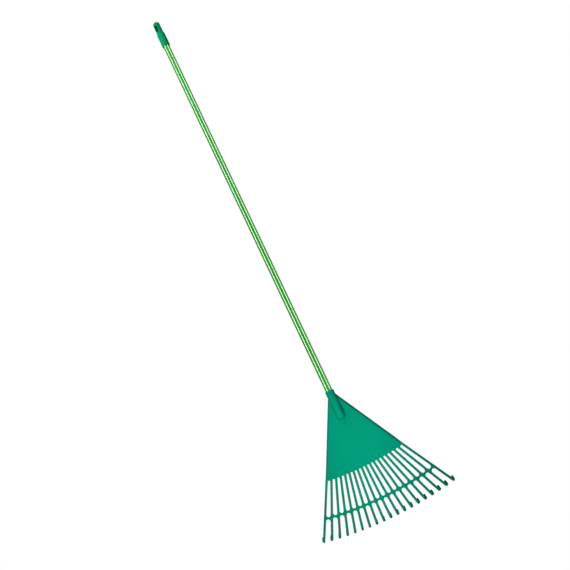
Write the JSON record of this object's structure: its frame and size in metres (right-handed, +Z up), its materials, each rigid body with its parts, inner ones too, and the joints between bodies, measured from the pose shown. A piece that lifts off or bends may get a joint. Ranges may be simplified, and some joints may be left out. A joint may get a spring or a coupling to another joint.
{
  "type": "leaf rake",
  "caption": "Leaf rake: a long tubular handle with a hanging cap and a flat fan-shaped plastic head whose joined tines end in back-bent hooks.",
  "frame": {"origin": "centre of the oblong hanging hole, on the handle's axis", "axes": "+Z up along the handle from the head to the cap, as the rake hangs; the head's smooth face looks to -Y and its hooks bend back to +Y; +X across the head"},
  "size_m": [0.4318, 0.0757, 1.789],
  "materials": {
    "tube_lacquer": "glossy metallic green lacquer over thin steel tube",
    "cap_plastic": "satin moulded polypropylene",
    "plug_plastic": "plain moulded plastic, hidden in the socket",
    "head_plastic": "satin moulded polypropylene"
  },
  "bodies": {
    "handle": {"handle_tube": "tube_lacquer", "tube_tip": "plug_plastic", "hang_cap": "cap_plastic"},
    "head": {"head_plate": "head_plastic", "handle_socket": "head_plastic", "tine_shanks": "head_plastic", "cross_web": "head_plastic"},
    "tine_end_01": {"tine_01": "head_plastic"},
    "tine_end_02": {"tine_02": "head_plastic"},
    "tine_end_03": {"tine_03": "head_plastic"},
    "tine_end_04": {"tine_04": "head_plastic"},
    "tine_end_05": {"tine_05": "head_plastic"},
    "tine_end_06": {"tine_06": "head_plastic"},
    "tine_end_07": {"tine_07": "head_plastic"},
    "tine_end_08": {"tine_08": "head_plastic"},
    "tine_end_09": {"tine_09": "head_plastic"},
    "tine_end_10": {"tine_10": "head_plastic"},
    "tine_end_11": {"tine_11": "head_plastic"},
    "tine_end_12": {"tine_12": "head_plastic"},
    "tine_end_13": {"tine_13": "head_plastic"},
    "tine_end_14": {"tine_14": "head_plastic"},
    "tine_end_15": {"tine_15": "head_plastic"},
    "tine_end_16": {"tine_16": "head_plastic"},
    "tine_end_17": {"tine_17": "head_plastic"},
    "tine_end_18": {"tine_18": "head_plastic"},
    "tine_end_19": {"tine_19": "head_plastic"}
  },
  "joints": [
    {"name": "head_slide", "type": "slide", "parent": "handle", "child": "head", "axis": [0, 0, -1], "range_m": [0, 0.085]},
    {"name": "tine_flex_01", "type": "hinge", "parent": "head", "child": "tine_end_01", "pos_m": [-0.18408, 0.03671, -1.69677], "axis": [-0.8748, -0.0506, 0.4818], "range_deg": [-5, 15], "stiffness_Nm_per_rad": 0.95},
    {"name": "tine_flex_02", "type": "hinge", "parent": "head", "child": "tine_end_02", "pos_m": [-0.16218, 0.0371, -1.70047], "axis": [-0.9006, -0.0454, 0.4322], "range_deg": [-5, 15], "stiffness_Nm_per_rad": 0.95},
    {"name": "tine_flex_03", "type": "hinge", "parent": "head", "child": "tine_end_03", "pos_m": [-0.14081, 0.03743, -1.70364], "axis": [-0.9236, -0.0401, 0.3812], "range_deg": [-5, 15], "stiffness_Nm_per_rad": 0.95},
    {"name": "tine_flex_04", "type": "hinge", "parent": "head", "child": "tine_end_04", "pos_m": [-0.11988, 0.03771, -1.7063], "axis": [-0.9437, -0.0346, 0.329], "range_deg": [-5, 15], "stiffness_Nm_per_rad": 0.95},
    {"name": "tine_flex_05", "type": "hinge", "parent": "head", "child": "tine_end_05", "pos_m": [-0.09934, 0.03794, -1.7085], "axis": [-0.9608, -0.029, 0.2758], "range_deg": [-5, 15], "stiffness_Nm_per_rad": 0.95},
    {"name": "tine_flex_06", "type": "hinge", "parent": "head", "child": "tine_end_06", "pos_m": [-0.0791, 0.03813, -1.71026], "axis": [-0.9748, -0.0233, 0.2217], "range_deg": [-5, 15], "stiffness_Nm_per_rad": 0.95},
    {"name": "tine_flex_07", "type": "hinge", "parent": "head", "child": "tine_end_07", "pos_m": [-0.05911, 0.03827, -1.71161], "axis": [-0.9858, -0.0175, 0.1669], "range_deg": [-5, 15], "stiffness_Nm_per_rad": 0.95},
    {"name": "tine_flex_08", "type": "hinge", "parent": "head", "child": "tine_end_08", "pos_m": [-0.03931, 0.03837, -1.71256], "axis": [-0.9937, -0.0117, 0.1115], "range_deg": [-5, 15], "stiffness_Nm_per_rad": 0.95},
    {"name": "tine_flex_09", "type": "hinge", "parent": "head", "child": "tine_end_09", "pos_m": [-0.01962, 0.03843, -1.71312], "axis": [-0.9984, -0.0059, 0.0559], "range_deg": [-5, 15], "stiffness_Nm_per_rad": 0.95},
    {"name": "tine_flex_10", "type": "hinge", "parent": "head", "child": "tine_end_10", "pos_m": [0, 0.03845, -1.71331], "axis": [-1, 0, 0], "range_deg": [-5, 15], "stiffness_Nm_per_rad": 0.95},
    {"name": "tine_flex_11", "type": "hinge", "parent": "head", "child": "tine_end_11", "pos_m": [0.01962, 0.03843, -1.71312], "axis": [-0.9984, 0.0059, -0.0559], "range_deg": [-5, 15], "stiffness_Nm_per_rad": 0.95},
    {"name": "tine_flex_12", "type": "hinge", "parent": "head", "child": "tine_end_12", "pos_m": [0.03931, 0.03837, -1.71256], "axis": [-0.9937, 0.0117, -0.1115], "range_deg": [-5, 15], "stiffness_Nm_per_rad": 0.95},
    {"name": "tine_flex_13", "type": "hinge", "parent": "head", "child": "tine_end_13", "pos_m": [0.05911, 0.03827, -1.71161], "axis": [-0.9858, 0.0175, -0.1669], "range_deg": [-5, 15], "stiffness_Nm_per_rad": 0.95},
    {"name": "tine_flex_14", "type": "hinge", "parent": "head", "child": "tine_end_14", "pos_m": [0.0791, 0.03813, -1.71026], "axis": [-0.9748, 0.0233, -0.2217], "range_deg": [-5, 15], "stiffness_Nm_per_rad": 0.95},
    {"name": "tine_flex_15", "type": "hinge", "parent": "head", "child": "tine_end_15", "pos_m": [0.09934, 0.03794, -1.7085], "axis": [-0.9608, 0.029, -0.2758], "range_deg": [-5, 15], "stiffness_Nm_per_rad": 0.95},
    {"name": "tine_flex_16", "type": "hinge", "parent": "head", "child": "tine_end_16", "pos_m": [0.11988, 0.03771, -1.7063], "axis": [-0.9437, 0.0346, -0.329], "range_deg": [-5, 15], "stiffness_Nm_per_rad": 0.95},
    {"name": "tine_flex_17", "type": "hinge", "parent": "head", "child": "tine_end_17", "pos_m": [0.14081, 0.03743, -1.70364], "axis": [-0.9236, 0.0401, -0.3812], "range_deg": [-5, 15], "stiffness_Nm_per_rad": 0.95},
    {"name": "tine_flex_18", "type": "hinge", "parent": "head", "child": "tine_end_18", "pos_m": [0.16218, 0.0371, -1.70047], "axis": [-0.9006, 0.0454, -0.4322], "range_deg": [-5, 15], "stiffness_Nm_per_rad": 0.95},
    {"name": "tine_flex_19", "type": "hinge", "parent": "head", "child": "tine_end_19", "pos_m": [0.18408, 0.03671, -1.69677], "axis": [-0.8748, 0.0506, -0.4818], "range_deg": [-5, 15], "stiffness_Nm_per_rad": 0.95}
  ]
}
